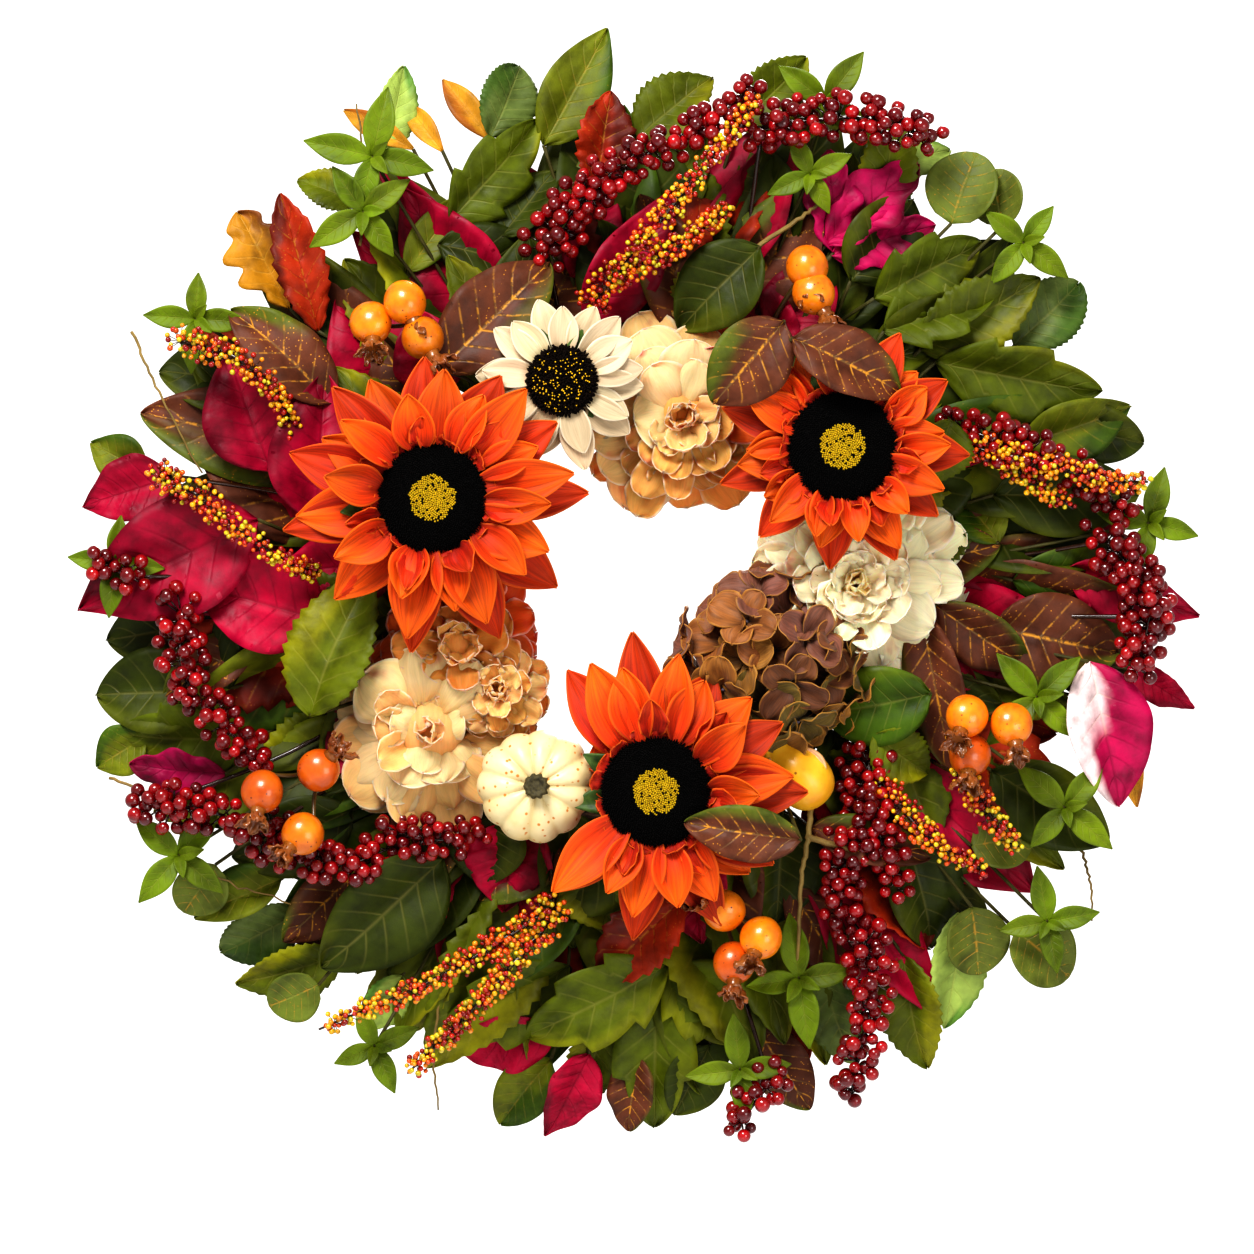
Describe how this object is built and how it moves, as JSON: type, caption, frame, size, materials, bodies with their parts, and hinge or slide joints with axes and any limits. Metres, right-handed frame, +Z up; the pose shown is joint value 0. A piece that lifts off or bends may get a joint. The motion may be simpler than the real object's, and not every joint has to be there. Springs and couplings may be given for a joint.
{
  "type": "harvest door wreath",
  "caption": "Round door wreath of artificial sunflowers, peonies, a small pumpkin, berries and autumn leaves on a ring of vine, hung by a wire loop behind its top.",
  "frame": {"origin": "the inside of the hanging loop's top, where a door hook bears", "axes": "+Z up as it hangs, -Y forward out of the door, the way the flowers face, +X to the right seen from the front"},
  "size_m": [0.6098, 0.1243, 0.6088],
  "materials": {
    "vine_bark": "dry, ridged bark",
    "dark_wire": "dark florist's wire",
    "green_stem": "wrapped green stem",
    "orange_petal": "dyed polyester, soft",
    "deep_orange_petal": "dyed polyester, soft",
    "black_pile": "short cut pile",
    "cream_petal": "dyed polyester, soft",
    "peach_petal": "dyed polyester, soft",
    "ivory_petal": "dyed polyester, soft",
    "gold_petal": "dyed polyester, soft",
    "brown_petal": "dyed polyester, gold rims",
    "pumpkin_skin": "painted foam, faint speckle",
    "pumpkin_stalk": "painted foam, rough",
    "gourd_skin": "painted foam, satin",
    "hip_skin": "lacquered foam, speckled",
    "berry_red": "lacquered, glossy",
    "seed_yellow": "lacquered beads",
    "green_leaf": "printed polyester, embossed veins",
    "wine_leaf": "printed polyester, embossed veins",
    "brown_leaf": "printed polyester, embossed veins"
  },
  "bodies": {
    "wreath": {"berry_spray_left": "berry_red", "berry_spray_lower_left": "berry_red", "berry_spray_lower_right": "berry_red", "berry_spray_right": "berry_red", "berry_spray_top": "berry_red", "binding_tie_left": "dark_wire", "binding_tie_right": "dark_wire", "cream_sunflower_disc": "black_pile", "cream_sunflower_petals": "cream_petal", "cream_sunflower_stem": "green_stem", "gold_peony": "gold_petal", "gourd": "gourd_skin", "hanger_tie": "dark_wire", "hydrangea": "brown_petal", "leaf_pick_back_1": "green_leaf", "leaf_pick_back_2": "wine_leaf", "leaf_pick_back_3": "green_leaf", "leaf_pick_back_4": "green_leaf", "leaf_pick_back_5": "brown_leaf", "leaf_pick_front_1": "green_leaf", "leaf_pick_front_2": "brown_leaf", "leaf_pick_front_3": "green_leaf", "leaf_pick_front_4": "wine_leaf", "leaf_pick_front_5": "green_leaf", "peony_left_petals": "peach_petal", "peony_left_stem": "green_stem", "peony_right_petals": "ivory_petal", "peony_right_stem": "green_stem", "peony_top_petals": "peach_petal", "peony_top_stem": "green_stem", "pumpkin": "pumpkin_skin", "pumpkin_stalk": "pumpkin_stalk", "rose_hips_bottom": "hip_skin", "rose_hips_lower_left": "hip_skin", "rose_hips_right": "hip_skin", "rose_hips_upper_left": "hip_skin", "rose_hips_upper_right": "hip_skin", "seed_spray_bottom": "seed_yellow", "seed_spray_left": "seed_yellow", "seed_spray_lower_right": "seed_yellow", "seed_spray_right": "seed_yellow", "seed_spray_top": "seed_yellow", "sunflower_bottom_disc": "black_pile", "sunflower_bottom_inner_petals": "orange_petal", "sunflower_bottom_outer_petals": "deep_orange_petal", "sunflower_bottom_stem": "green_stem", "sunflower_left_disc": "black_pile", "sunflower_left_inner_petals": "orange_petal", "sunflower_left_outer_petals": "deep_orange_petal", "sunflower_left_stem": "green_stem", "sunflower_right_disc": "black_pile", "sunflower_right_inner_petals": "orange_petal", "sunflower_right_outer_petals": "deep_orange_petal", "sunflower_right_stem": "green_stem", "vine_hoop_back_inner": "vine_bark", "vine_hoop_back_outer": "vine_bark", "vine_hoop_front_inner": "vine_bark", "vine_hoop_front_outer": "vine_bark"},
    "hanger": {"hanger_loop": "dark_wire"}
  },
  "joints": [
    {"name": "hanger_swing", "type": "hinge", "parent": "wreath", "child": "hanger", "pos_m": [0, 0, -0.0388], "axis": [-1, 0, 0], "range_deg": [0, 125]}
  ]
}
